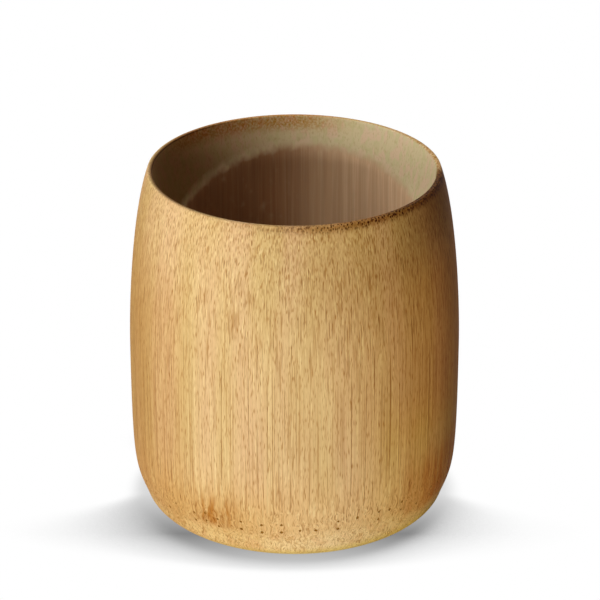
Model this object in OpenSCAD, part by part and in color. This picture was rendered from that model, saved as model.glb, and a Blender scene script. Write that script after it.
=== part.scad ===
// Drinking cup turned on a lathe from one length of bamboo culm.
// The culm's own node is the floor of the cup, and its own pith skin still lines the cavity.
// The origin is on the table, on the axis that the cup was turned about, and +Z points up.

/* [Turned outline] */
// Largest outside diameter, at the belly
body_d = 80; // [76:0.5:86]
// Height from the table to the lip
body_h = 87.4; // [80:0.2:100]
// Height of the widest point above the table
belly_z = 42.5; // [36:0.5:50]
// How far the lip's outside edge stands in from the belly
mouth_inset = 5; // [3:0.1:5.5]
// Lean of the outline inwards at the lip, in degrees from upright
lip_lean = 19.5; // [12:0.5:24]
// How far the turn from the side into the rounded heel stands in from the belly
heel_inset = 3.4; // [2.4:0.1:5]
// Height of that turn above the table
heel_z = 4.5; // [3:0.1:6]
// Lean of the outline outwards at that turn, in degrees from upright
heel_lean = 19.4; // [12:0.2:24]
// How far the foot ring's outside edge stands in from that turn
foot_inset = 8.6; // [6.5:0.1:10]

/* [Lip and bevel] */
// Width of the lip's top face between the turned outside and the bevel
lip_w = 1.1; // [0.8:0.1:2]
// Radius that eases both edges of the lip
lip_r = 0.3; // [0.1:0.05:0.4]
// Lean of the bevel that thins the mouth from inside, in degrees from upright
bevel_lean = 9.6; // [8:0.1:12]

/* [Natural cavity] */
// Mean thickness of the culm at the belly, pith skin included
wall_t = 9.85; // [9.5:0.05:13]
// Sideways distance of the hollow's centre from the turning axis
lumen_x = 0.35; // [0:0.05:0.8]
// Distance of the hollow's centre behind the turning axis
lumen_y = 2.2; // [0:0.1:2.6]
// Radius of the hollow's rounded bottom corner
corner_r = 8; // [5:0.5:10]
// Thickness of the pith skin
lining_t = 0.6; // [0.4:0.1:1]

/* [Node floor] */
// Height of the drinking floor's edge above the table
floor_z = 9; // [7:0.5:14]
// Rise of the drinking floor from its edge to its middle
floor_crown = 0.8; // [0.2:0.1:2]
// Depth of the dish in the floor's underside
floor_dish = 0.6; // [0.2:0.1:1.5]
// Width of the flat foot ring round the recess in the underside
foot_w = 5; // [4:0.1:7]
// Depth of that recess
recess_h = 2.5; // [1:0.1:4]
// Width of the recess's ledge outside the floor's lower, narrower part
ledge_w = 4.5; // [3:0.1:7]
// Height of that narrower part
neck_h = 2.4; // [1.5:0.1:4]

/* [Root traces] */
// Places round the sides and back of the node that hold root traces
back_places = 36; // [20:1:40]
// Diameter of one trace
trace_d = 0.8; // [0.5:0.1:1.2]
// Length of one trace, from the outside of the wall inwards
trace_l = 2; // [1:0.1:3]
// Mean height of the upper ring of traces above the table
trace_z = 12.1; // [10:0.1:16]
// Distance of the lower ring below the upper one
trace_gap = 2.2; // [1.6:0.1:3]
// Tilt of the node against the turning axis, in degrees, rising towards +X
node_tilt = 2.5; // [0:0.1:4]

/* [Hidden] */
$fn = 144;

// How far a cut runs past the face that it opens
overrun = 1;

// Pull of each curve's ends along their tangents, as shares of the curve's reach
belly_up_share = 0.277;
lip_share = 0.243;
belly_down_share = 0.9;
heel_up_share = 0.203;
foot_share = 0.55;

// Straight steps in each curve of the outline, in a lip edge, in a cavity corner and across the floor
curve_steps = 20;
lip_steps = 4;
corner_steps = 12;
floor_steps = 12;

// The traces across the front, one value per place: direction in degrees, rise above the node's plane
// as a share of the rings' distance, and the rings grown in, 0 being the upper ring and 1 the lower one
front_angles = [-128, -123, -118, -109, -101.5, -94.5, -88, -82.5, -74.5, -67.5, -59, -54.5, -49, -41];
front_rise_shares = [0, 0.4, 0, 0.2, 0, 0.1, 0.27, 0.18, 0, 0, 0, -0.2, 0.15, -0.1];
front_rings = [[0, 1], [0, 1], [0, 1], [0, 1], [0, 1], [0, 1], [1], [1], [0, 1], [0], [0, 1], [0], [0, 1], [1]];

// Irregularity of the other traces: place round the node, height, and places with one ring missing
angle_wander_share = 0.22;
rise_wander_share = 0.2;
wander_step = 137.5;
no_upper_every = 7;
no_lower_every = 9;

body_r = body_d / 2;
mouth_r = body_r - mouth_inset;
heel_r = body_r - heel_inset;
foot_r = heel_r - foot_inset;
recess_r = foot_r - foot_w;
neck_r = recess_r - ledge_w;
lumen_r = body_r - wall_t;
seat_z = recess_h + neck_h;
floor_r = lumen_r - corner_r;
skin_r = lumen_r + lining_t;
lip_in_r = mouth_r - lip_w;

// The bevel runs down past the deepest place where it meets the hollow, at the thick front wall
bevel_run = lip_in_r - lumen_r + norm([lumen_x, lumen_y]) + overrun;
bevel_h = bevel_run / tan(bevel_lean);
bevel_end = [lip_in_r - bevel_run, body_h - bevel_h];

// Point at share t of a cubic curve from a to d, drawn towards b and then c
function curve_point(a, b, c, d, t) =
    a * pow(1 - t, 3) + b * 3 * t * pow(1 - t, 2) + c * 3 * t * t * (1 - t) + d * pow(t, 3);

// Points of that curve, without its first one
function curve(a, b, c, d) = [for (i = [1 : curve_steps]) curve_point(a, b, c, d, i / curve_steps)];

// Points of an arc about a centre, from one angle to another
function arc(centre, r, from, to, steps) =
    [for (i = [0 : steps])
        let (angle = from + (to - from) * i / steps)
        centre + r * [cos(angle), sin(angle)]];

function unit(v) = v / norm(v);
function heading(v) = atan2(v[1], v[0]);

// Points of the arc that eases a corner between the points before and after it
function eased(before, corner, after, r, steps) =
    let (u = unit(before - corner),
         v = unit(after - corner),
         half = acos(u * v) / 2,
         centre = corner + unit(u + v) * r / sin(half),
         from = heading(corner + u * r / tan(half) - centre),
         to = heading(corner + v * r / tan(half) - centre),
         turn = (to - from + 540) % 360 - 180)
    arc(centre, r, from, from + turn, steps);

// Outline of the outside, from the foot ring's edge up to the lip
foot_edge = [foot_r, 0];
heel = [heel_r, heel_z];
belly = [body_r, belly_z];
lip_out = [mouth_r, body_h];
lip_in = [lip_in_r, body_h];
heel_way = [sin(heel_lean), cos(heel_lean)];
lip_way = [sin(lip_lean), -cos(lip_lean)];
below = belly_z - heel_z;
above = body_h - belly_z;
heel_corner = [heel_r - heel_z * tan(heel_lean), 0];

outside = concat(
    [foot_edge],
    curve(foot_edge, foot_edge + foot_share * (heel_corner - foot_edge),
          heel + foot_share * (heel_corner - heel), heel),
    curve(heel, heel + heel_up_share * below * heel_way,
          belly - [0, belly_down_share * below], belly),
    curve(belly, belly + [0, belly_up_share * above],
          lip_out + lip_share * above * lip_way, lip_out));

// Outside radius at a height above the table
function outside_r(z) = lookup(z, [for (p = outside) [p[1], p[0]]]);

// The whole turned shape: outside, eased lip and inner bevel, with no cavity yet
module turned_form() {
    last = len(outside) - 1;
    rotate_extrude() polygon(concat(
        [[0, 0]],
        [for (i = [0 : last - 1]) outside[i]],
        eased(outside[last - 1], lip_out, lip_in, lip_r, lip_steps),
        eased(lip_out, lip_in, bevel_end, lip_r, lip_steps),
        [bevel_end, [0, bevel_end[1]]]));
}

// Moves a shape onto the axis of the culm's own hollow
module on_lumen_axis() {
    translate([lumen_x, lumen_y, 0]) children();
}

// Rounded bottom corner of the hollow, offset outwards by the thickness t, from the floor to the side
function cavity_corner(t) =
    arc([floor_r, floor_z + corner_r], corner_r + t, -90, 0, corner_steps);

// Everything that the wall leaves free: the neck and disc of the floor, the lining and the cavity
module culm_hollow() {
    on_lumen_axis() rotate_extrude() polygon(concat(
        [[0, -overrun], [neck_r, -overrun], [neck_r, seat_z], [floor_r, seat_z]],
        cavity_corner(lining_t),
        [[skin_r, body_h + overrun], [0, body_h + overrun]]));
}

// Places round the sides and back, from the last of the front ones on: direction, rise share and rings
first_angle = front_angles[0];
last_angle = front_angles[len(front_angles) - 1];
back_step = (360 + first_angle - last_angle) / (back_places + 1);
back_traces = [for (i = [1 : back_places]) [
    last_angle + back_step * (i + angle_wander_share * sin(wander_step * i)),
    rise_wander_share * cos(wander_step * i * i),
    i % no_upper_every == 0 ? [1] : i % no_lower_every == 0 ? [0] : [0, 1]]];

front_traces = [for (i = [0 : len(front_angles) - 1]) [front_angles[i], front_rise_shares[i], front_rings[i]]];

// Rods along all the traces, past the outside of the wall
module trace_rods() {
    for (place = concat(front_traces, back_traces), ring = place[2]) {
        z = trace_z + (place[1] - ring) * trace_gap + heel_r * tan(node_tilt) * cos(place[0]);
        start = outside_r(z) - trace_l;
        rotate(place[0])
            translate([start, 0, z])
                rotate([0, 90, 0])
                    cylinder(h = body_r + overrun - start, d = trace_d);
    }
}

// Turned wall of the culm, from the foot ring to the lip, with the bevel that thins its mouth
module culm_wall() {
    color("#DDB176") difference() {
        turned_form();
        culm_hollow();
        translate([0, 0, -overrun]) cylinder(h = recess_h + overrun, r = recess_r);
        trace_rods();
    }
}

// Pith skin on the wall of the hollow, cut off on a wavy line where the bevel meets it
module pith_lining() {
    color("#9A6A4E") intersection() {
        on_lumen_axis() rotate_extrude() polygon(concat(
            cavity_corner(0),
            [[lumen_r, body_h], [skin_r, body_h]],
            [for (i = [corner_steps : -1 : 0]) cavity_corner(lining_t)[i]]));
        turned_form();
    }
}

// Woody disc of the node, seated on its shoulder in the wall, crowned above and dished below
module node_diaphragm() {
    color("#C9A36C") on_lumen_axis() rotate_extrude() polygon(concat(
        [for (i = [0 : floor_steps])
            let (s = i / floor_steps)
            [neck_r * s, recess_h + floor_dish * (1 - s * s)]],
        [[neck_r, seat_z], [floor_r, seat_z]],
        [for (i = [floor_steps : -1 : 0])
            let (s = i / floor_steps)
            [floor_r * s, floor_z + floor_crown * (1 - s * s)]]));
}

// Dark cut ends of the node's root traces, flush with the turned outside
module root_traces() {
    color("#6B4423") intersection() {
        trace_rods();
        turned_form();
    }
}

culm_wall();
pith_lining();
node_diaphragm();
root_traces();
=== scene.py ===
"""Looks of a drinking cup turned on a lathe from one length of bamboo culm.

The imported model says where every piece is. The class of each piece models one tissue of the bamboo as a fine
mesh in that place, and each finish works its patterns out from real spacings. Sizes are in millimetres, and
points of an outline are (radius, height) pairs, until they become vertices, which are in metres.
"""

from __future__ import annotations

import logging
from collections.abc import Iterable
from dataclasses import dataclass, field
from enum import Enum
from functools import cached_property, partial
from math import acos, atan2, cos, hypot, pi, radians, sin, sqrt, tan

import bmesh
import bpy
from bmesh.types import BMesh, BMVert
from bpy.types import Material, NodeSocket, Object, World
from mathutils import Euler, Matrix, Vector

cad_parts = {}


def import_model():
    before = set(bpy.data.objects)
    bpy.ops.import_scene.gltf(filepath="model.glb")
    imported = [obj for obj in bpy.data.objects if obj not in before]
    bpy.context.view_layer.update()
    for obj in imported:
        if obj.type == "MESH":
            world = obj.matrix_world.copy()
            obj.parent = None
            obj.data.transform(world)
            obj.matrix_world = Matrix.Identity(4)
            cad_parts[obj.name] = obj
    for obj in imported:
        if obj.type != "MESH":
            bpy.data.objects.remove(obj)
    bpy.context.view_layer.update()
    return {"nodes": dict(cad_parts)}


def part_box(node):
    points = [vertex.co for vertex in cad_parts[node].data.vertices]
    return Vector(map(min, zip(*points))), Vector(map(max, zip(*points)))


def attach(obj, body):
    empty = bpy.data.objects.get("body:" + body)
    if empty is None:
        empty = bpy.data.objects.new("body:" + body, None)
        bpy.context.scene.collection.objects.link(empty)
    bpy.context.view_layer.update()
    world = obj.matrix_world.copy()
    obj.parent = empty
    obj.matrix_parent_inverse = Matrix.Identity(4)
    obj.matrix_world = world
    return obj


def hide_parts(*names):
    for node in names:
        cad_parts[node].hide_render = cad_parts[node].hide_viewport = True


MM = 0.001
FULL_TURN = 2 * pi
SHARP_ANGLE = radians(40)
# Points of a mesh that are closer than this many millimetres are merged
MERGED = 0.001
NOISE_MEAN = (0.5, 0.5, 0.5)
WHITE = (1.0, 1.0, 1.0, 1.0)
BODY = "root"

log = logging.getLogger("bamboo_cup")

Point = Vector
Triple = tuple[float, float, float]
Value = NodeSocket | float | tuple[float, ...]


class Slot(Enum):
    """Material slots of the record, one for each of the pieces' finishes."""

    TURNED_BAMBOO = "turned_bamboo"
    PITH_SKIN = "pith_skin"
    NODE_WOOD = "node_wood"
    ROOT_TRACE = "root_trace"


class Shaped(Enum):
    """How a point of a section finds its place once the section has been spun."""

    BY_LATHE = 0
    BY_GROWTH = 1
    BY_BEVEL = 2


@dataclass(frozen=True)
class SectionPoint:
    """A corner of a piece's section, before it is spun.

    shaped says how it finds its place, and share is how far up a grown wall reaches towards the bevel, or how
    far down the bevel a point lies.
    """

    radius: float
    height: float
    shaped: Shaped = Shaped.BY_LATHE
    share: float = 0.0


def section_of(points: Iterable[Point], shaped: Shaped) -> list[SectionPoint]:
    """Gives the corners of a section that keep their own height."""
    return [SectionPoint(point.x, point.y, shaped) for point in points]


def linear(hex_code: str) -> tuple[float, float, float, float]:
    """Turns an sRGB colour, as #RRGGBB, into the linear one that shaders use, with an alpha of 1."""
    parts = [int(hex_code[i : i + 2], 16) / 255 for i in (1, 3, 5)]
    return (*(p / 12.92 if p <= 0.04045 else ((p + 0.055) / 1.055) ** 2.4 for p in parts), 1.0)


def shares(steps: int) -> list[float]:
    """Gives how much of a way is done after each of its steps."""
    return [i / steps for i in range(1, steps + 1)]


def cubic(a: Point, b: Point, c: Point, d: Point, steps: int) -> list[Point]:
    """Gives points of the cubic curve from a to d, drawn towards b and then c, without a itself."""
    ways = ((t, 1 - t) for t in shares(steps))
    return [a * u**3 + b * 3 * t * u**2 + c * 3 * t * t * u + d * t**3 for t, u in ways]


def arc(centre: Point, radius: float, start: float, end: float, steps: int) -> list[Point]:
    """Gives the points of an arc from one angle in radians to another, both ends included."""
    angles = [start + (end - start) * i / steps for i in range(steps + 1)]
    return [centre + radius * Point((cos(a), sin(a))) for a in angles]


def eased(before: Point, corner: Point, after: Point, radius: float, steps: int) -> list[Point]:
    """Gives the points of the arc that rounds a corner off.

    Args:
        before: a point on the side that reaches the corner.
        corner: the corner.
        after: a point on the side that leaves it.
        radius: the radius of the rounding.
        steps: the number of straight steps.

    Returns:
        The points of the arc, in order.
    """
    u = (before - corner).normalized()
    v = (after - corner).normalized()
    half = acos(u.dot(v)) / 2
    centre = corner + (u + v).normalized() * (radius / sin(half))
    ends = [corner + way * (radius / tan(half)) - centre for way in (u, v)]
    start, end = [atan2(e.y, e.x) for e in ends]
    turn = (end - start + 3 * pi) % FULL_TURN - pi
    return arc(centre, radius, start, start + turn, steps)


@dataclass(frozen=True)
class TurnedOutline:
    """Outside of the cup from the foot ring to the lip, and the bevel inside the mouth."""

    body_r: float
    body_h: float
    belly_z: float = 42.5
    mouth_inset: float = 5.0
    lip_lean: float = 19.5
    heel_inset: float = 3.4
    heel_z: float = 4.5
    heel_lean: float = 19.4
    foot_inset: float = 8.6
    foot_w: float = 5.0
    lip_w: float = 1.1
    lip_r: float = 0.3
    bevel_lean: float = 9.6
    belly_up_share: float = 0.277
    lip_share: float = 0.243
    belly_down_share: float = 0.9
    heel_up_share: float = 0.203
    foot_share: float = 0.55
    heel_steps: int = 16
    side_steps: int = 44
    lip_steps: int = 5

    @property
    def foot_r(self) -> float:
        """Outside radius of the flat foot ring."""
        return self.body_r - self.heel_inset - self.foot_inset

    @property
    def recess_r(self) -> float:
        """Radius of the recess inside the foot ring."""
        return self.foot_r - self.foot_w

    @property
    def bevel_slope(self) -> float:
        """Radius that the bevel loses for each millimetre down."""
        return tan(radians(self.bevel_lean))

    @cached_property
    def side(self) -> list[Point]:
        """Gives the outside from the foot ring's edge up to the lip's corner.

        Returns:
            The points, which the heel, lower side and upper side join smoothly.
        """
        heel_r = self.body_r - self.heel_inset
        below = self.belly_z - self.heel_z
        above = self.body_h - self.belly_z
        heel_lean = radians(self.heel_lean)
        lip_lean = radians(self.lip_lean)
        foot = Point((self.foot_r, 0))
        heel = Point((heel_r, self.heel_z))
        belly = Point((self.body_r, self.belly_z))
        lip = Point((self.body_r - self.mouth_inset, self.body_h))
        corner = Point((heel_r - self.heel_z * tan(heel_lean), 0))
        foot_pull = foot.lerp(corner, self.foot_share)
        heel_pull = heel.lerp(corner, self.foot_share)
        heel_rise = heel + Point((sin(heel_lean), cos(heel_lean))) * self.heel_up_share * below
        belly_down = belly - Point((0, self.belly_down_share * below))
        belly_up = belly + Point((0, self.belly_up_share * above))
        lip_drop = lip + Point((sin(lip_lean), -cos(lip_lean))) * self.lip_share * above
        return [
            foot,
            *cubic(foot, foot_pull, heel_pull, heel, self.heel_steps),
            *cubic(heel, heel_rise, belly_down, belly, self.side_steps),
            *cubic(belly, belly_up, lip_drop, lip, self.side_steps),
        ]

    @cached_property
    def lip(self) -> list[Point]:
        """Gives the lip's top face with both of its edges eased.

        Returns:
            The points from the end of the outside to the start of the bevel.
        """
        outer = self.side[-1]
        inner = outer - Point((self.lip_w, 0))
        down = inner - Point((self.bevel_slope, 1))
        return [
            *eased(self.side[-2], outer, inner, self.lip_r, self.lip_steps),
            *eased(outer, inner, down, self.lip_r, self.lip_steps),
        ]

    def bevel_height(self, radius: float) -> float:
        """Gives the height at which the bevel has a radius, both in millimetres."""
        start = self.lip[-1]
        return start.y - (start.x - radius) / self.bevel_slope

    def radius_at(self, height: float) -> float:
        """Gives the outside radius at a height above the table.

        Args:
            height: the height in millimetres.

        Returns:
            The radius in millimetres.
        """
        for low, high in zip(self.side, self.side[1:]):
            if low.y < height <= high.y:
                return low.x + (high.x - low.x) * (height - low.y) / (high.y - low.y)
        return self.side[-1].x


@dataclass(frozen=True)
class Hollow:
    """The culm's own hollow, whose axis lies beside the turning axis."""

    radius: float
    shift: Point
    skin_t: float
    floor_r: float
    floor_z: float
    corner_steps: int = 12

    @property
    def skin_r(self) -> float:
        """Radius of the wall behind the pith skin."""
        return self.radius + self.skin_t

    @property
    def corner_r(self) -> float:
        """Radius of the rounded corner between the floor and the wall."""
        return self.radius - self.floor_r

    @property
    def corner_top(self) -> float:
        """Height at which the rounded corner ends and the straight wall begins."""
        return self.floor_z + self.corner_r

    def reach(self, angle: float, radius: float) -> float:
        """Gives the distance from the turning axis to a circle about the hollow's axis.

        Args:
            angle: the direction round the turning axis, in radians.
            radius: the circle's radius in millimetres.

        Returns:
            The distance in millimetres.
        """
        along = self.shift.x * cos(angle) + self.shift.y * sin(angle)
        across = self.shift.x * sin(angle) - self.shift.y * cos(angle)
        return along + sqrt(radius * radius - across * across)

    def corner(self, depth: float) -> list[Point]:
        """Gives the rounded corner from the floor's edge to the wall, depth millimetres below its surface."""
        centre = Point((self.floor_r, self.corner_top))
        return arc(centre, self.corner_r + depth, -pi / 2, 0, self.corner_steps)


@dataclass(frozen=True)
class Seat:
    """The shoulder in the wall that the floor rests on, and the bore below it that the floor's neck fills."""

    neck_r: float
    recess_h: float
    neck_h: float = 2.4

    @property
    def height(self) -> float:
        """Height of the shoulder above the table."""
        return self.recess_h + self.neck_h


def spun(mesh: BMesh, corners: list[BMVert], closed: bool, steps: int) -> None:
    """Spins a section about the turning axis.

    Args:
        mesh: the mesh that holds the section.
        corners: the section's corners, in order.
        closed: whether its last corner is joined to its first.
        steps: the number of steps in the full turn.
    """
    ends = [*corners[1:], corners[0]] if closed else corners[1:]
    edges = [mesh.edges.new(pair) for pair in zip(corners, ends)]
    geom = [*corners, *edges]
    bmesh.ops.spin(mesh, geom=geom, axis=(0, 0, 1), angle=FULL_TURN, steps=steps, use_merge=True)


def finished(name: str, mesh: BMesh, material: Material) -> Object:
    """Makes an object of a mesh that is done.

    Args:
        name: the object's name.
        mesh: its mesh, which is freed.
        material: the object's material.

    Returns:
        The object, linked to the scene and smooth shaded between its sharp edges.
    """
    for face in mesh.faces:
        face.smooth = True
    data = bpy.data.meshes.new(name)
    mesh.to_mesh(data)
    mesh.free()
    data.set_sharp_from_angle(angle=SHARP_ANGLE)
    data.materials.append(material)
    made = bpy.data.objects.new(name, data)
    bpy.context.scene.collection.objects.link(made)
    return made


@dataclass(frozen=True)
class Lathe:
    """Spins sections into closed meshes and moves their grown and bevelled points into place."""

    outline: TurnedOutline
    hollow: Hollow
    segments: int = 360

    def place(self, angle: float, point: SectionPoint) -> Vector:
        """Finds the place of a spun point.

        Args:
            angle: its direction round the turning axis, in radians.
            point: the point as it lies in the section.

        Returns:
            The place in metres.
        """
        radius, height = point.radius, point.height
        if point.shaped is Shaped.BY_GROWTH:
            radius = self.hollow.reach(angle, radius)
            if point.share > 0:
                top = self.outline.bevel_height(radius)
                height = self.hollow.corner_top + point.share * (top - self.hollow.corner_top)
        elif point.shaped is Shaped.BY_BEVEL:
            start = self.outline.lip[-1].x
            end = self.hollow.reach(angle, self.hollow.skin_r)
            radius = start + point.share * (end - start)
            height = self.outline.bevel_height(radius)
        return Vector((radius * cos(angle), radius * sin(angle), height)) * MM

    def spin(self, name: str, section: list[SectionPoint], material: Material) -> Object:
        """Spins a closed section about the turning axis.

        Args:
            name: the name of the new object.
            section: the corners of the section, in order.
            material: the object's material.

        Returns:
            The object, with its faces pointing outwards.
        """
        mesh = bmesh.new()
        kinds = mesh.verts.layers.int.new("shaped")
        shares = mesh.verts.layers.float.new("share")
        corners = []
        for point in section:
            vertex = mesh.verts.new((point.radius, 0, point.height))
            vertex[kinds] = point.shaped.value
            vertex[shares] = point.share
            corners.append(vertex)
        spun(mesh, corners, closed=True, steps=self.segments)
        for vertex in mesh.verts:
            x, y, z = vertex.co
            point = SectionPoint(hypot(x, y), z, Shaped(vertex[kinds]), vertex[shares])
            vertex.co = self.place(atan2(y, x), point)
        mesh.verts.layers.int.remove(kinds)
        mesh.verts.layers.float.remove(mesh.verts.layers.float["share"])
        bmesh.ops.recalc_face_normals(mesh, faces=mesh.faces)
        return finished(name, mesh, material)


class Graph:
    """Shader nodes of one material or world."""

    def __init__(self, owner: Material | World) -> None:
        """Clears the owner's nodes.

        Args:
            owner: the material or world that gets new nodes.
        """
        owner.use_nodes = True
        self.tree = owner.node_tree
        self.tree.nodes.clear()

    def add(
        self, kind: str, inputs: dict[int | str, Value] | None = None, out: int | str = 0, **settings: object
    ) -> NodeSocket | None:
        """Adds a node with its settings and links.

        Args:
            kind: the node's type, without the words ShaderNode.
            inputs: a socket to link or a value to set, for each input by its name or number.
            out: the name or number of the output to give back.
            settings: the node's own properties.

        Returns:
            The output socket, or None where the node has none.
        """
        node = self.tree.nodes.new("ShaderNode" + kind)
        for name, setting in settings.items():
            setattr(node, name, setting)
        for key, value in (inputs or {}).items():
            if isinstance(value, NodeSocket):
                self.tree.links.new(value, node.inputs[key])
            else:
                node.inputs[key].default_value = value
        return node.outputs[out] if node.outputs else None


class Measure(Enum):
    """What a zone of a finish follows, in millimetres."""

    ABOVE_TABLE = "height above the table"
    ABOVE_NODE = "height above the table, square to the tilted node"
    TURNED = "distance from the turning axis"
    FRAYED = "depth behind the surface of the culm's own hollow, pushed unevenly to and fro"
    ACROSS = "distance to the right of the turning axis"
    BEHIND = "distance behind the turning axis"
    AROUND = "distance to the right, as a share of the distance from the turning axis"


@dataclass(frozen=True)
class Culm:
    """The length of bamboo that the cup is turned from.

    axis is the middle of the culm's own hollow beside the turning axis, and hollow_r the hollow's radius. The
    node tilts by tilt degrees, and from node_top down to node_middle its fibres tangle more and more. oval is
    how wide a bundle is for each millimetre of its depth, at mean_r. drift, tangle and fray are twice how far
    the fibres wander, tangle in the node and fray at the skin's edge.
    """

    axis: Point
    hollow_r: float
    node_top: float = 21.0
    node_middle: float = 10.0
    tilt: float = 2.5
    mean_r: float = 38.0
    oval: float = 0.6
    drift: float = 0.9
    drift_sizes: Triple = (12.0, 12.0, 60.0)
    tangle: float = 2.2
    tangle_sizes: Triple = (1.9, 1.9, 3.4)
    fray: float = 0.4
    fray_sizes: Triple = (2.0, 2.0, 3.0)


class CulmGraph(Graph):
    """Shader nodes of a finish on bamboo, with the measures and coordinates that its patterns follow."""

    def __init__(self, owner: Material, culm: Culm) -> None:
        """Adds the measures and coordinates.

        Args:
            owner: the material that gets new nodes.
            culm: the culm that the piece is cut from.
        """
        super().__init__(owner)
        self.culm = culm
        spot = self.add("TexCoord", out="Object")
        self.place = self.add("VectorMath", {0: spot, "Scale": 1 / MM}, operation="SCALE")
        beside = self.add("VectorMath", {0: self.place, 1: culm.axis.to_3d()}, operation="SUBTRACT")
        split = self.add("SeparateXYZ", {0: self.place}).node
        tilt = radians(culm.tilt)
        up_node = {0: self.place, 1: (-sin(tilt), 0.0, cos(tilt))}
        radius = self.across_axis(beside)
        depth = self.add("Math", {0: radius, 1: culm.hollow_r}, operation="SUBTRACT")
        uneven = self.add("SeparateXYZ", {0: self.push(culm.fray_sizes, culm.fray)})
        turned = self.across_axis(self.place)
        self.measures = {
            Measure.ABOVE_TABLE: split.outputs[2],
            Measure.ABOVE_NODE: self.add("VectorMath", up_node, out="Value", operation="DOT_PRODUCT"),
            Measure.TURNED: turned,
            Measure.FRAYED: self.add("Math", {0: depth, 1: uneven}, operation="ADD"),
            Measure.ACROSS: split.outputs[0],
            Measure.BEHIND: split.outputs[1],
            Measure.AROUND: self.add("Math", {0: split.outputs[0], 1: turned}, operation="DIVIDE"),
        }
        self.fibres = self.straightened(beside, radius)

    def across_axis(self, place: NodeSocket) -> NodeSocket:
        """Adds the distance of a point from the upright axis through the origin."""
        flat = self.add("VectorMath", {0: place, 1: (1.0, 1.0, 0.0)}, operation="MULTIPLY")
        return self.add("VectorMath", {0: flat}, out="Value", operation="LENGTH")

    def in_steps(self, place: NodeSocket, sizes: Triple) -> NodeSocket:
        """Adds a place's coordinates, counted in steps of sizes along each axis."""
        counts = tuple(1 / size for size in sizes)
        return self.add("VectorMath", {0: place, 1: counts}, operation="MULTIPLY")

    def push(self, sizes: Triple, reach: Value) -> NodeSocket:
        """Adds a push that varies from place to place.

        Args:
            sizes: the size of its swirls along each axis, in millimetres.
            reach: twice how far it goes at most, in millimetres.

        Returns:
            The push as a vector.
        """
        drawn = self.in_steps(self.place, sizes)
        swirl = self.add("TexNoise", {"Vector": drawn, "Scale": 1.0, "Detail": 1.0}, out="Color")
        centred = self.add("VectorMath", {0: swirl, 1: NOISE_MEAN}, operation="SUBTRACT")
        return self.add("VectorMath", {0: centred, "Scale": reach}, operation="SCALE")

    def straightened(self, beside: NodeSocket, radius: NodeSocket) -> NodeSocket:
        """Adds coordinates in which the fibres are straight and the bundles round.

        Args:
            beside: the point, measured from the culm's own axis.
            radius: its distance from that axis.

        Returns:
            The point, drawn in towards the mean radius and moved by the fibres' slow drift, and near the
            node by their tangle.
        """
        culm = self.culm
        drawn_in = self.add("Math", {0: culm.mean_r * (1 - culm.oval), 1: radius}, operation="DIVIDE")
        factor = self.add("Math", {0: drawn_in, 1: culm.oval}, operation="ADD")
        point = self.add("VectorMath", {0: beside, "Scale": factor}, operation="SCALE")
        near_node = Zone(Measure.ABOVE_NODE, culm.node_top, culm.node_middle, most=culm.tangle).mask(self)
        for push in (self.push(culm.drift_sizes, culm.drift), self.push(culm.tangle_sizes, near_node)):
            point = self.add("VectorMath", {0: point, 1: push}, operation="ADD")
        return point

    def shared(self, masks: tuple[Mask, ...]) -> NodeSocket:
        """Adds the mask of the places where all of several masks hold.

        Args:
            masks: the masks.

        Returns:
            Their product.
        """
        sockets = [mask.mask(self) for mask in masks]
        whole = sockets[0]
        for socket in sockets[1:]:
            whole = self.add("Math", {0: whole, 1: socket}, operation="MULTIPLY")
        return whole

    def coated(self, colour: Value, coats: tuple[Coat, ...]) -> NodeSocket:
        """Adds coats of colour, one over the other.

        Args:
            colour: the ground under them.
            coats: the coats, the lowest first.

        Returns:
            The colour that shows.
        """
        for coat in coats:
            inputs = {0: self.shared(coat.where), 6: colour, 7: linear(coat.colour)}
            colour = self.add("Mix", inputs, out=2, data_type="RGBA", blend_type=coat.blend.value)
        return colour


@dataclass(frozen=True)
class Streaks:
    """Soft streaks along the fibres, which vary about a half. width and length are in millimetres."""

    width: float
    length: float
    detail: float = 1.0

    def value(self, graph: CulmGraph) -> NodeSocket:
        """Adds the streaks' value."""
        drawn = graph.in_steps(graph.fibres, (self.width, self.width, self.length))
        return graph.add("TexNoise", {"Vector": drawn, "Scale": 1.0, "Detail": self.detail})


@dataclass(frozen=True)
class FibreEnds:
    """Short ends of fibres, as the distance to the nearest, in shares of their spacing in millimetres.

    curl is twice how far they are pushed aside, and draw their spacing across as a share of that upwards.
    """

    spacing: float
    curl: float = 0.0
    curl_size: float = 3.0
    draw: float = 0.45

    def value(self, graph: CulmGraph) -> NodeSocket:
        """Adds the distance to the nearest end.

        Args:
            graph: the nodes of the finish.

        Returns:
            The distance, in shares of the spacing.
        """
        curl = graph.push((self.curl_size,) * 3, self.curl)
        curled = graph.add("VectorMath", {0: graph.place, 1: curl}, operation="ADD")
        drawn = graph.in_steps(curled, (self.spacing, self.spacing, self.spacing / self.draw))
        return graph.add("TexVoronoi", {"Vector": drawn, "Scale": 1.0}, out="Distance")


@dataclass(frozen=True)
class Zone:
    """A mask with soft edges: least where what it follows is at start, and most where that is at full."""

    follows: Measure | Streaks | FibreEnds
    start: float
    full: float
    least: float = 0.0
    most: float = 1.0

    def mask(self, graph: CulmGraph) -> NodeSocket:
        """Adds the mask.

        Args:
            graph: the nodes of the finish.

        Returns:
            The mask, from least to most.
        """
        if isinstance(self.follows, Measure):
            value = graph.measures[self.follows]
        else:
            value = self.follows.value(graph)
        ends = {"From Min": self.start, "From Max": self.full, "To Min": self.least, "To Max": self.most}
        return graph.add("MapRange", {"Value": value, **ends}, interpolation_type="SMOOTHSTEP")


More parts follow.
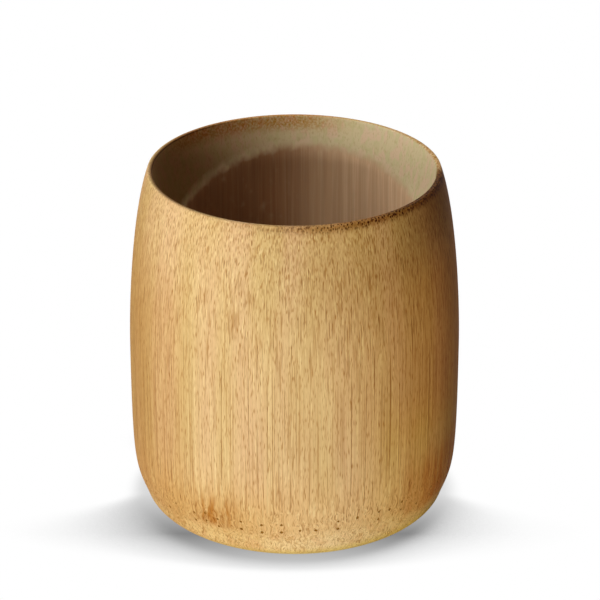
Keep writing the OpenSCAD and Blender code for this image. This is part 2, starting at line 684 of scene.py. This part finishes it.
@dataclass(frozen=True)
class Bundles:
    """Dark vascular bundles of one size, cut through wherever the surface crosses them.

    spacing and width are in millimetres. depth is how dark the darkest are, from 0 to 1, and strays the share
    of bundles that stay pale. edge is how soft they are round their radius, wander how far they stand off an
    even grid, and aside how many spacings the grid is moved, so that no two sizes line up.
    """

    spacing: float
    width: float
    depth: float
    strays: float
    edge: float = 0.35
    wander: float = 0.9
    aside: tuple[float, float] = (7.0, 13.0)

    def mask(self, graph: CulmGraph) -> NodeSocket:
        """Adds the mask of the bundles.

        Args:
            graph: the nodes of the finish.

        Returns:
            The mask, which is depth in the darkest of them and 0 between them.
        """
        aside = (*(steps * self.spacing for steps in self.aside), 0.0)
        moved = graph.add("VectorMath", {0: graph.fibres, 1: aside}, operation="ADD")
        grid = {"Vector": moved, "Scale": 1 / self.spacing, "Randomness": self.wander}
        distance = graph.add("TexVoronoi", grid, out="Distance", voronoi_dimensions="2D")
        draw = graph.add("SeparateColor", {0: distance.node.outputs["Color"]})
        depth = graph.add("MapRange", {"Value": draw, "From Min": self.strays, "To Max": self.depth})
        radius = self.width / 2 / self.spacing
        ends = {"From Min": radius * (1 + self.edge), "From Max": radius * (1 - self.edge)}
        inside = graph.add("MapRange", {"Value": distance, **ends}, interpolation_type="SMOOTHSTEP")
        return graph.add("Math", {0: inside, 1: depth}, operation="MULTIPLY")


Mask = Zone | Bundles


class Blend(Enum):
    """How a coat meets the ground under it."""

    OVER = "MIX"
    TINT = "MULTIPLY"


@dataclass(frozen=True)
class Coat:
    """A colour that shows where all its masks hold."""

    colour: str
    where: tuple[Mask, ...]
    blend: Blend


def paint(colour: str, *where: Mask) -> Coat:
    """Gives a coat that covers what lies under it."""
    return Coat(colour, where, Blend.OVER)


def tint(colour: str, *where: Mask) -> Coat:
    """Gives a coat that tints what lies under it."""
    return Coat(colour, where, Blend.TINT)


@dataclass(frozen=True)
class Finish:
    """Finish of one tissue of the culm.

    coats lie over the ground. marks are groups of masks, and where all of one group hold, mark_tint darkens
    the coats and the surface dips. grain is what the relief follows, up to relief millimetres high.
    """

    name: str
    ground: str
    coats: tuple[Coat, ...]
    grain: Streaks
    relief: float
    roughness: float
    specular: float
    marks: tuple[tuple[Mask, ...], ...] = ()
    mark_tint: str = "#AE8854"
    dip: float = 0.8
    bump: float = 0.5
    ior: float = 1.5

    def material(self, culm: Culm) -> Material:
        """Builds the material.

        Args:
            culm: the culm that the piece is cut from.

        Returns:
            The material, whose patterns read the object's own coordinates.
        """
        made = bpy.data.materials.new(self.name)
        graph = CulmGraph(made, culm)
        colour = graph.coated(linear(self.ground), self.coats)
        rise = self.grain.value(graph)
        if self.marks:
            marked, *others = [graph.shared(group) for group in self.marks]
            for other in others:
                marked = graph.add("Math", {0: marked, 1: other}, operation="MAXIMUM")
            inputs = {0: marked, 6: colour, 7: linear(self.mark_tint)}
            colour = graph.add("Mix", inputs, out=2, data_type="RGBA", blend_type=Blend.TINT.value)
            rise = graph.add("Math", {0: marked, 1: -self.dip, 2: rise}, operation="MULTIPLY_ADD")
        relief = {"Strength": self.bump, "Distance": self.relief * MM, "Height": rise}
        look = {
            "Base Color": colour,
            "Roughness": self.roughness,
            "IOR": self.ior,
            "Specular IOR Level": self.specular,
            "Normal": graph.add("Bump", relief),
        }
        shader = graph.add("BsdfPrincipled", look)
        graph.add("OutputMaterial", {"Surface": shader})
        return made


above_table = partial(Zone, Measure.ABOVE_TABLE)
above_node = partial(Zone, Measure.ABOVE_NODE)
turned_at = partial(Zone, Measure.TURNED)
frayed = partial(Zone, Measure.FRAYED)
across = partial(Zone, Measure.ACROSS)
behind = partial(Zone, Measure.BEHIND)


def band(follows: Measure, low: float, rise: float, fall: float, high: float) -> tuple[Zone, Zone]:
    """Gives the masks of a band with soft edges, which is full from rise to fall."""
    return Zone(follows, low, rise), Zone(follows, high, fall)


def cut_open(*where: Mask) -> tuple[Coat, ...]:
    """Gives the coats of the soft inner wood that the bevel lays bare.

    Args:
        where: the masks of the place.

    Returns:
        The coats: pale, mottled and faintly speckled, with painted shade that darkens them brown towards the
            left.
    """
    return (
        paint("#D0BF95", *where),
        paint("#D8BA9A", *where, Zone(Streaks(3.2, 3.2), 0.44, 0.6, most=0.8)),
        paint("#C7BC8B", *where, Zone(Streaks(1.5, 2.2), 0.48, 0.64, most=0.7)),
        paint("#B09668", *where, Zone(Streaks(0.4, 0.8), 0.5, 0.8, most=0.5)),
        # Painted shade: the cut wood darkens brown towards the left, which lies in shade
        tint("#A0866E", *where, across(14.0, -28.0)),
    )


def turned_bamboo(lip_z: float) -> Finish:
    """Gives the finish of bamboo culm, turned across its fibres, sanded and sealed.

    The lathe cuts the straight bundles at a slant. Where the side leans, each shows as a short brown dash,
    and where it is upright, as a long streak, so the eye reads the cup's curve from the grain alone. The
    clear sealer gives a low, even sheen. Some coats paint shade on the sides, the lip and the bevel, and
    paint light from the floor on the foot.

    Args:
        lip_z: the height of the lip in millimetres.

    Returns:
        The finish.
    """
    outside = turned_at(33.9, 34.1)
    bevel = (turned_at(34.1, 33.9), above_table(20.0, 30.0))
    lip_top = above_table(lip_z - 0.4, lip_z - 0.1)
    lip_band = (above_table(lip_z - 2.4, lip_z - 0.4), across(-22.0, 18.0), behind(3.0, -4.0))
    back_left = (*band(Measure.ACROSS, -34.0, -26.0, 0.0, 18.0), behind(6.0, 16.0))
    stained_rim = (above_table(lip_z - 5.0, lip_z - 1.5), *back_left)
    side = (outside, above_table(lip_z - 0.1, lip_z - 0.5))
    right = (across(8.0, 40.0), above_table(16.0, 44.0, least=0.3))
    mid_right = (*band(Measure.ACROSS, -6.0, 18.0, 30.0, 37.0), above_table(16.0, 48.0))
    left_side = (*band(Measure.ACROSS, -44.0, -36.0, -30.0, -22.0), above_table(84.0, 56.0))
    left_heel = (*band(Measure.ACROSS, -38.0, -27.0, -15.0, 2.0), above_table(24.0, 12.0))
    left_patch = (
        *band(Measure.ABOVE_NODE, 9.0, 11.5, 14.5, 21.0),
        *band(Measure.ACROSS, -26.0, -21.0, -16.0, -12.0),
        behind(0.0, -8.0),
    )
    right_patch = (*band(Measure.ABOVE_TABLE, 5.0, 10.0, 18.0, 29.0), across(22.0, 33.0), behind(4.0, -6.0))
    off_node = above_node(8.5, 12.5, least=0.25)
    in_node = above_node(12.0, 8.5)
    return Finish(
        name="turned_bamboo",
        ground="#DAB584",
        coats=(
            paint("#D4B479", Zone(Streaks(9.0, 120.0), 0.35, 0.65)),
            # Lighter and yellower towards the bottom, and below the node painted light from the floor pales
            # the heel
            paint("#DFB87E", above_table(32.0, 10.0)),
            paint("#F0D39A", above_node(11.0, 6.5)),
            paint("#E2B47E", in_node, Zone(Streaks(3.5, 3.5), 0.5, 0.66, most=0.5)),
            paint("#CDA05E", in_node, Zone(Streaks(1.1, 1.1, 2.0), 0.5, 0.68, most=0.6)),
            # Painted light from the floor: a pale yellow band round the foot's edge
            paint("#E8CE76", above_node(5.0, 2.0)),
            paint("#EED69C", outside, Zone(Streaks(0.3, 30.0), 0.48, 0.85, most=0.9)),
            paint("#AE7E45", outside, Zone(Streaks(0.4, 45.0), 0.48, 0.85, most=0.85)),
            paint("#AE7C43", outside, Zone(Streaks(0.18, 1.8, 0.0), 0.5, 0.9)),
            *cut_open(*bevel),
            tint("#D6A456", *stained_rim, Zone(Streaks(0.5, 0.5, 2.0), 0.3, 0.7, least=0.3)),
            # Painted shade darkens the sides to the right, at the top and round both edges
            tint("#E6BE88", *side, *right, above_table(88.0, 66.0, least=0.35)),
            tint("#F6F1E0", *side, *mid_right),
            # Yellower low on the right
            tint("#FFF8CE", *side, across(10.0, 32.0), above_table(46.0, 30.0)),
            # Painted shade at the top, darkest at the top right
            tint("#E4DECE", *side, across(-24.0, 26.0), above_table(50.0, 80.0)),
            tint("#C0AC94", *side, across(20.0, 34.0), above_table(68.0, 86.0)),
            # Painted shade high on the left side
            tint("#F2E9DA", *side, *left_side),
            # Yellower at the left heel
            tint("#F5EEDC", *left_heel),
            # Painted shade round the left edge
            tint("#E8D8C0", *side, across(-30.0, -40.0)),
            # Painted shade round the right edge
            tint("#BEB298", *side, Zone(Measure.AROUND, 0.78, 1.0)),
            # Painted shade on the lip's top: it darkens inwards at the left and in mottled streaks at the
            # right
            tint("#7C6138", lip_top, turned_at(35.0, 34.0), across(-8.0, -28.0)),
            tint("#DCC6A4", lip_top, across(20.0, 34.0), Zone(Streaks(0.7, 0.7), 0.4, 0.6)),
            # Warm patches beside the node
            tint("#D6B074", *left_patch, Zone(Streaks(1.1, 16.0), 0.3, 0.75)),
            tint("#E0B688", *right_patch, Zone(Streaks(2.2, 60.0), 0.3, 0.7, least=0.6)),
            # Round the front of the lip: painted shade darkens its top at the right, and a darker band, dotted
            # with dark fibre ends, runs along the top of the wall
            tint("#A09581", lip_top, across(12.0, 30.0), behind(3.0, -6.0)),
            tint("#C4A884", *lip_band),
            tint("#6E4A24", *lip_band, Zone(FibreEnds(0.55, draw=0.7), 0.5, 0.3)),
        ),
        grain=Streaks(0.18, 1.8, 0.0),
        relief=0.015,
        roughness=0.7,
        specular=0.04,
        marks=(
            (outside, off_node, Bundles(0.70, 0.22, 0.80, 0.25)),
            (outside, off_node, Bundles(0.43, 0.14, 0.55, 0.20)),
            (outside, off_node, Bundles(4.50, 0.26, 0.65, 0.35)),
            (outside, off_node, across(-2.0, 22.0), Bundles(0.55, 0.20, 0.90, 0.10)),
            (outside, above_table(68.0, 80.0), Bundles(0.50, 0.18, 0.80, 0.15)),
            (in_node, Zone(FibreEnds(0.5, curl=5.0), 0.42, 0.16, most=0.22)),
        ),
    )


# The culm's natural inner skin, left as it grew. It is thin, brown and matte, with fine lines along the culm,
# and frays into the pale wood where the bevel cuts it off, so the eye takes the hollow for a grown one.
PITH_SKIN = Finish(
    name="natural_pith_skin",
    ground="#CFAA84",
    coats=(
        paint("#D9B993", Zone(Streaks(0.5, 30.0), 0.38, 0.68)),
        paint("#B48E6C", Zone(Streaks(1.6, 60.0), 0.42, 0.62, most=0.35)),
        # Painted shade: the skin darkens and greys towards the left, where the hollow lies in shade
        tint("#C3BCB9", across(16.0, -15.0)),
        tint("#D3BCA8", across(10.0, -8.0)),
        paint("#A87A5C", frayed(0.0, 0.3, most=0.3)),
        *cut_open(frayed(0.02, 0.6)),
    ),
    grain=Streaks(0.5, 30.0),
    relief=0.1,
    roughness=0.7,
    specular=0.15,
)

# The node's wood, whose fibres turn inwards and tangle. No grain runs straight in it, so the eye sees a
# mottled disc where the culm was closed.
NODE_WOOD = Finish(
    name="bamboo_node_wood",
    ground="#A27A4C",
    coats=(paint("#C09A68", Zone(Streaks(1.4, 1.4, 5.0), 0.3, 0.7)),),
    grain=Streaks(1.4, 1.4, 5.0),
    relief=0.15,
    roughness=0.65,
    specular=0.15,
)

# A root trace's cut end, whose dark corky grain the eye takes for a small pit
ROOT_TRACE_END = Finish(
    name="root_trace_end",
    ground="#7E541A",
    coats=(paint("#A87C38", Zone(Streaks(0.3, 0.3, 3.0), 0.3, 0.7)),),
    grain=Streaks(0.3, 0.3, 3.0),
    relief=0.05,
    roughness=0.75,
    specular=0.05,
)


def placed(piece: Object, node: str) -> Object:
    """Gives a piece its place in the frame.

    Args:
        piece: the new object.
        node: the CAD node that it stands for.

    Returns:
        The piece.
    """
    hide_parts(node)
    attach(piece, BODY)
    return piece


@dataclass
class RootTraces:
    """The cut ends of the node's root traces, each in its own socket in the wall.

    spread is how much narrower the narrowest are, as a share, on a wave that goes on by spread_step radians
    from trace to trace. A trace ends sunk below the wall's outside, and its middle dome below that.
    """

    outline: TurnedOutline
    material: Material
    node: str = "root_traces"
    diameter: float = 0.8
    clearance: float = 0.02
    spread: float = 0.22
    spread_step: float = 2.4
    sides: int = 14
    length: float = 2.0
    sunk: float = 0.12
    dome: float = 0.1
    dome_share: float = 0.45
    places: list[tuple[float, float]] = field(default_factory=list)

    def find(self, solid: Object) -> None:
        """Reads each trace's direction and height from the CAD node.

        Args:
            solid: the CAD node's object, which stays as it is.
        """
        mesh = bmesh.new()
        mesh.from_mesh(solid.data)
        bmesh.ops.remove_doubles(mesh, verts=mesh.verts, dist=MERGED * MM)
        mesh.verts.index_update()
        waiting = set(mesh.verts)
        while waiting:
            island = [waiting.pop()]
            for vertex in island:
                near = {edge.other_vert(vertex) for edge in vertex.link_edges} & waiting
                waiting -= near
                island.extend(near)
            # The sum is taken in the same order in each run, and so has the same last digits
            island.sort(key=lambda vertex: vertex.index)
            middle = sum((vertex.co for vertex in island), Vector()) / len(island)
            lows, highs = [edge(vertex.co.z for vertex in island) for edge in (min, max)]
            self.places.append((atan2(middle.y, middle.x), (lows + highs) / 2 / MM))
        mesh.free()
        self.places.sort()

    def rods(self, radius: float, start: float, end: float, dome: float) -> BMesh:
        """Makes one closed rod at every trace.

        Args:
            radius: the rods' radius in millimetres.
            start: where a rod begins, measured inwards from the wall's outside.
            end: where it ends, measured outwards from there.
            dome: how far the middle of its outer end is sunk.

        Returns:
            The mesh of all the rods.
        """
        mesh = bmesh.new()
        for index, (angle, height) in enumerate(self.places):
            outside = self.outline.radius_at(height)
            grown = radius * (1 - self.spread * (1 + sin(index * self.spread_step)) / 2)
            middle = (outside - start + outside + end) / 2
            turned = Matrix.Rotation(angle, 4, "Z") @ Matrix.Translation(Vector((middle, 0, height)) * MM)
            made = bmesh.ops.create_cone(
                mesh,
                cap_ends=True,
                segments=self.sides,
                radius1=grown * MM,
                radius2=grown * MM,
                depth=(start + end) * MM,
                matrix=turned @ Matrix.Rotation(pi / 2, 4, "Y"),
            )
            if dome:
                outward = turned.to_3x3() @ Vector((1, 0, 0))
                faces = {face for vertex in made["verts"] for face in vertex.link_faces}
                cap = max(faces, key=lambda face: face.normal.dot(outward))
                inset = grown * self.dome_share * MM
                bmesh.ops.inset_region(mesh, faces=[cap], thickness=inset, depth=-dome * MM)
        return mesh

    def cutter(self, material: Material) -> Object:
        """Makes the rods that bore the sockets, in the wall's material, which the sockets keep."""
        mesh = self.rods(self.diameter / 2, self.length, self.length, 0.0)
        return finished("socket_cutter", mesh, material)

    def build(self) -> Object:
        """Makes the traces, a little narrower than their sockets and sunk below the outside.

        Returns:
            The object, in its place in the frame.
        """
        radius = self.diameter / 2 - self.clearance
        mesh = self.rods(radius, self.length - self.clearance, -self.sunk, self.dome)
        return placed(finished("root_trace_ends", mesh, self.material), self.node)


@dataclass
class CulmWall:
    """The turned wall of the cup, from the foot ring to the lip and down the bevel."""

    lathe: Lathe
    material: Material
    seat: Seat
    node: str = "culm_wall"
    bevel_steps: int = 14
    hidden_steps: int = 4
    foot_ease: float = 0.4
    ease_steps: int = 4

    def section(self) -> list[SectionPoint]:
        """Gives the wall's closed section.

        Returns:
            Its points, from the recess round the outside and the lip and back along the hollow.
        """
        outline, hollow, seat = self.lathe.outline, self.lathe.hollow, self.seat
        recess_top = Point((outline.recess_r, seat.recess_h))
        foot_in = Point((outline.recess_r, 0))
        foot = eased(recess_top, foot_in, outline.side[0], self.foot_ease, self.ease_steps)
        start = outline.lip[-1]
        grown = [
            *reversed(hollow.corner(hollow.skin_t)),
            Point((hollow.floor_r, seat.height)),
            Point((seat.neck_r, seat.height)),
            Point((seat.neck_r, seat.recess_h)),
        ]
        down_wall = reversed(shares(self.hidden_steps)[:-1])
        return [
            *section_of([recess_top, *foot, *outline.side[:-1], *outline.lip], Shaped.BY_LATHE),
            *(SectionPoint(start.x, start.y, Shaped.BY_BEVEL, share) for share in shares(self.bevel_steps)),
            *(SectionPoint(hollow.skin_r, hollow.corner_top, Shaped.BY_GROWTH, share) for share in down_wall),
            *section_of(grown, Shaped.BY_GROWTH),
        ]

    def build(self, traces: RootTraces) -> Object:
        """Spins the wall and bores the sockets of the root traces.

        Args:
            traces: the traces, which say where their sockets are.

        Returns:
            The object, in its place in the frame.
        """
        piece = self.lathe.spin("turned_culm_wall", self.section(), self.material)
        cutter = traces.cutter(self.material)
        bore = piece.modifiers.new("sockets", "BOOLEAN")
        bore.operation = "DIFFERENCE"
        bore.solver = "MANIFOLD"
        bore.object = cutter
        shaped = bpy.data.meshes.new_from_object(piece.evaluated_get(bpy.context.evaluated_depsgraph_get()))
        piece.modifiers.clear()
        piece.data = shaped
        bpy.data.objects.remove(cutter)
        shaped.set_sharp_from_angle(angle=SHARP_ANGLE)
        return placed(piece, self.node)


@dataclass
class PithLining:
    """The natural skin of the hollow, which the bevel cuts off on a wavy line."""

    lathe: Lathe
    material: Material
    node: str = "pith_lining"
    wall_steps: int = 40
    edge_steps: int = 3

    def build(self) -> Object:
        """Spins the skin.

        Returns:
            The object, in its place in the frame.
        """
        hollow = self.lathe.hollow
        rises = shares(self.wall_steps)[:-1]
        edge = [hollow.radius + hollow.skin_t * i / self.edge_steps for i in range(self.edge_steps + 1)]
        grown, top = Shaped.BY_GROWTH, hollow.corner_top
        section = [
            *section_of(hollow.corner(0.0), grown),
            *(SectionPoint(hollow.radius, top, grown, rise) for rise in rises),
            *(SectionPoint(radius, top, grown, 1.0) for radius in edge),
            *(SectionPoint(hollow.skin_r, top, grown, rise) for rise in reversed(rises)),
            *section_of(reversed(hollow.corner(hollow.skin_t)), grown),
        ]
        piece = self.lathe.spin("natural_pith_skin", section, self.material)
        return placed(piece, self.node)


@dataclass
class NodeFloor:
    """The woody disc of the node, crowned above, dished below and seated on its shoulder.

    ripple is the depth of the lathe's marks on its top, which stand ripple_length apart.
    """

    hollow: Hollow
    material: Material
    seat: Seat
    crown: float
    dish: float = 0.6
    node: str = "node_diaphragm"
    steps: int = 22
    segments: int = 180
    ripple: float = 0.09
    ripple_length: float = 3.1

    def build(self) -> Object:
        """Spins the disc.

        Returns:
            The object, in its place in the frame.
        """
        seat, hollow = self.seat, self.hollow
        outwards = [0.0, *shares(self.steps)]
        under = [(seat.neck_r * s, seat.recess_h + self.dish * (1 - s * s)) for s in outwards]
        rim = [(seat.neck_r, seat.height), (hollow.floor_r, seat.height)]
        over = []
        for share in reversed(outwards):
            radius = hollow.floor_r * share
            wave = self.ripple * (1 - share) * (cos(FULL_TURN * radius / self.ripple_length) - 1) / 2
            over.append((radius, hollow.floor_z + self.crown * (1 - share * share) + wave))
        mesh = bmesh.new()
        corners = [mesh.verts.new((radius, 0, height)) for radius, height in [*under, *rim, *over]]
        spun(mesh, corners, closed=False, steps=self.segments)
        bmesh.ops.remove_doubles(mesh, verts=mesh.verts, dist=MERGED)
        bmesh.ops.translate(mesh, verts=mesh.verts, vec=hollow.shift.to_3d())
        bmesh.ops.scale(mesh, verts=mesh.verts, vec=(MM, MM, MM))
        bmesh.ops.recalc_face_normals(mesh, faces=mesh.faces)
        return placed(finished("node_floor_disc", mesh, self.material), self.node)


@dataclass(frozen=True)
class SoftBox:
    """A soft studio lamp that looks at the cup.

    azimuth and elevation give its direction in degrees, the first from the front towards the right, and
    distance its distance in metres.
    """

    name: str
    azimuth: float
    elevation: float
    distance: float
    size: tuple[float, float]
    power: float

    def hang(self, target: Vector) -> None:
        """Makes the lamp.

        Args:
            target: the point that it faces, in metres.
        """
        data = bpy.data.lights.new(self.name, "AREA")
        data.shape = "RECTANGLE"
        data.size, data.size_y = self.size
        data.energy = self.power
        lamp = bpy.data.objects.new(self.name, data)
        turn, rise = radians(self.azimuth), radians(self.elevation)
        way = Vector((sin(turn) * cos(rise), -cos(turn) * cos(rise), sin(rise)))
        lamp.location = target + way * self.distance
        lamp.rotation_euler = (target - lamp.location).to_track_quat("-Z", "Y").to_euler()
        bpy.context.scene.collection.objects.link(lamp)


@dataclass(frozen=True)
class Studio:
    """White floor, soft lamps and the photograph's camera.

    The floor's lengths are in metres and the camera's in millimetres. The cup's shade is painted into the
    floor's glow, least at shade_run from the line y = shade_y and most on it, as shade_reach and shade_grey
    say. The floor looks for the cup along shade_lean, which turns upright over shade_turn, and the shade
    reaches shade_behind there. shade_open and shade_closed are the free shares of that look at which the
    floor is white and darkest.
    """

    target: Vector
    floor_size: float = 12.0
    floor_white: str = "#ECECEC"
    shade_y: float = -0.021
    shade_run: float = 0.021
    shade_reach: tuple[float, float] = (0.008, 0.052)
    shade_grey: tuple[float, float] = (0.70, 0.24)
    shade_lean: Triple = (0.08, -0.40, 0.91)
    shade_turn: tuple[float, float] = (0.010, 0.030)
    shade_behind: float = 0.020
    shade_open: float = 0.93
    shade_closed: float = 0.50
    shade_samples: int = 16
    world_level: float = 0.035
    world_tint: str = "#FFE8CC"
    elevation: float = 24.857
    distance: float = 800.0
    focal: float = 198.16
    sensor: float = 36.0
    near_clip: float = 10.0
    aim: Triple = (1.333, 0.0, 52.898)
    lamps: tuple[SoftBox, ...] = (
        SoftBox("key_softbox", -9.0, 4.0, 1.0, (0.4, 0.3), 6.2),
        SoftBox("high_softbox", -45.0, 42.0, 1.0, (0.4, 0.4), 2.6),
        SoftBox("side_softbox", -100.0, 35.0, 1.0, (0.5, 0.5), 4.0),
        SoftBox("top_softbox", 0.0, 88.0, 1.2, (0.9, 0.9), 4.2),
        SoftBox("back_softbox", 175.0, 28.0, 1.0, (0.5, 0.5), 2.2),
    )

    def seen(self, graph: Graph) -> NodeSocket:
        """Adds a mask of the rays that show a background: seen, mirrored or through glass.

        Args:
            graph: the nodes of the background.

        Returns:
            The mask.
        """
        path = graph.add("LightPath").node
        ways = [path.outputs[name] for name in ("Is Camera Ray", "Is Glossy Ray", "Is Transmission Ray")]
        either = graph.add("Math", {0: ways[0], 1: ways[1]}, operation="MAXIMUM")
        return graph.add("Math", {0: either, 1: ways[2]}, operation="MAXIMUM")

    def floor(self) -> None:
        """Makes the white floor, with the cup's soft shade painted into its glow, furthest in front."""
        mesh = bmesh.new()
        bmesh.ops.create_grid(mesh, x_segments=1, y_segments=1, size=self.floor_size / 2)
        made = bpy.data.materials.new("white_paper_sweep")
        graph = Graph(made)
        paper = graph.add("BsdfDiffuse", {"Color": linear(self.floor_white)})
        spot = graph.add("SeparateXYZ", {0: graph.add("TexCoord", out="Object")}, out=1)
        aside = graph.add("Math", {0: spot, 1: self.shade_y}, operation="SUBTRACT")
        away = graph.add("Math", {0: aside}, operation="ABSOLUTE")
        run = {"Value": away, "From Min": self.shade_run, "From Max": 0.0}
        reach = {**run, "To Min": self.shade_reach[0], "To Max": self.shade_reach[1]}
        beside = graph.add("MapRange", reach, interpolation_type="SMOOTHSTEP")
        turn = {"Value": spot, "From Min": self.shade_turn[0], "From Max": self.shade_turn[1]}
        behind_cup = graph.add("MapRange", {**turn, "To Min": 0.0, "To Max": self.shade_behind})
        distance = graph.add("Math", {0: beside, 1: behind_cup}, operation="MAXIMUM")
        upright = graph.add("MapRange", {**turn, "To Min": self.shade_lean[1], "To Max": 0.0})
        lean = graph.add("CombineXYZ", {0: self.shade_lean[0], 1: upright, 2: self.shade_lean[2]})
        grey = graph.add("MapRange", {**run, "To Min": self.shade_grey[0], "To Max": self.shade_grey[1]})
        look = {"Distance": distance, "Normal": lean}
        open_share = graph.add("AmbientOcclusion", look, out="AO", samples=self.shade_samples)
        ramp = {"From Min": self.shade_closed, "From Max": self.shade_open, "To Min": grey}
        level = graph.add("MapRange", {"Value": open_share, **ramp}, interpolation_type="SMOOTHSTEP")
        glow = graph.add("Emission", {"Color": WHITE, "Strength": level})
        surface = graph.add("MixShader", {0: self.seen(graph), 1: paper, 2: glow})
        graph.add("OutputMaterial", {"Surface": surface})
        piece = finished("studio_floor", mesh, made)

    def world(self) -> None:
        """Lights the cup evenly from all round, before a white background."""
        sky = bpy.data.worlds.new("studio_surround")
        graph = Graph(sky)
        lit = graph.add("Background", {"Color": linear(self.world_tint), "Strength": self.world_level})
        shown = graph.add("Background", {"Color": WHITE})
        graph.add("OutputWorld", {"Surface": graph.add("MixShader", {0: self.seen(graph), 1: lit, 2: shown})})
        bpy.context.scene.world = sky

    def camera(self) -> None:
        """Makes the camera at the photograph's angle and distance."""
        data = bpy.data.cameras.new("photo_camera")
        data.sensor_width = self.sensor
        data.lens = self.focal
        data.clip_start = self.near_clip * MM
        rise = radians(self.elevation)
        back = Vector((0, -cos(rise), sin(rise))) * self.distance
        seer = bpy.data.objects.new("photo_camera", data)
        seer.location = (Vector(self.aim) + back) * MM
        seer.rotation_euler = Euler((pi / 2 - rise, 0, 0))
        bpy.context.scene.collection.objects.link(seer)
        bpy.context.scene.camera = seer

    def build(self) -> None:
        """Sets the studio up."""
        bpy.context.scene.view_settings.view_transform = "Standard"
        self.floor()
        self.world()
        for lamp in self.lamps:
            lamp.hang(self.target)
        self.camera()


def report(piece: Object) -> None:
    """Logs a piece's name, faces and box in millimetres.

    Args:
        piece: the piece.
    """
    corners = [Vector(corner) / MM for corner in piece.bound_box]
    low, high = [Vector(edge(c[i] for c in corners) for i in range(3)) for edge in (min, max)]
    log.info("%s: %d faces, %s to %s mm", piece.name, len(piece.data.polygons), low[:], high[:])


def main() -> None:
    """Builds the cup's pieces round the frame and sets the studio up."""
    logging.basicConfig(level=logging.INFO, format="%(name)s %(message)s")
    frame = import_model()
    wall_low, wall_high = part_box("culm_wall")
    skin_low, skin_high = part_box("pith_lining")
    disc_low, disc_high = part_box("node_diaphragm")
    # The thickness of the skin and the width of the recess's ledge can't be read from the boxes
    skin_t = 0.6
    ledge_w = 4.5
    middle = (skin_low + skin_high) / 2 / MM
    outline = TurnedOutline(body_r=min(wall_high.x, wall_high.y) / MM, body_h=wall_high.z / MM)
    hollow = Hollow(
        radius=(skin_high.x - skin_low.x) / 2 / MM - skin_t,
        shift=Point((middle.x, middle.y)),
        skin_t=skin_t,
        floor_r=(disc_high.x - disc_low.x) / 2 / MM,
        floor_z=skin_low.z / MM + skin_t,
    )
    seat = Seat(neck_r=outline.recess_r - ledge_w, recess_h=disc_low.z / MM)
    lathe = Lathe(outline, hollow)
    culm = Culm(hollow.shift, hollow.radius)

    traces = RootTraces(outline, ROOT_TRACE_END.material(culm))
    traces.find(frame["nodes"][traces.node])
    wall = CulmWall(lathe, turned_bamboo(outline.body_h).material(culm), seat)
    lining = PithLining(lathe, PITH_SKIN.material(culm))
    floor = NodeFloor(hollow, NODE_WOOD.material(culm), seat, crown=disc_high.z / MM - hollow.floor_z)
    for piece in (wall.build(traces), lining.build(), floor.build(), traces.build()):
        report(piece)
    Studio(target=(wall_low + wall_high) / 2).build()


if __name__ == "__main__":
    main()
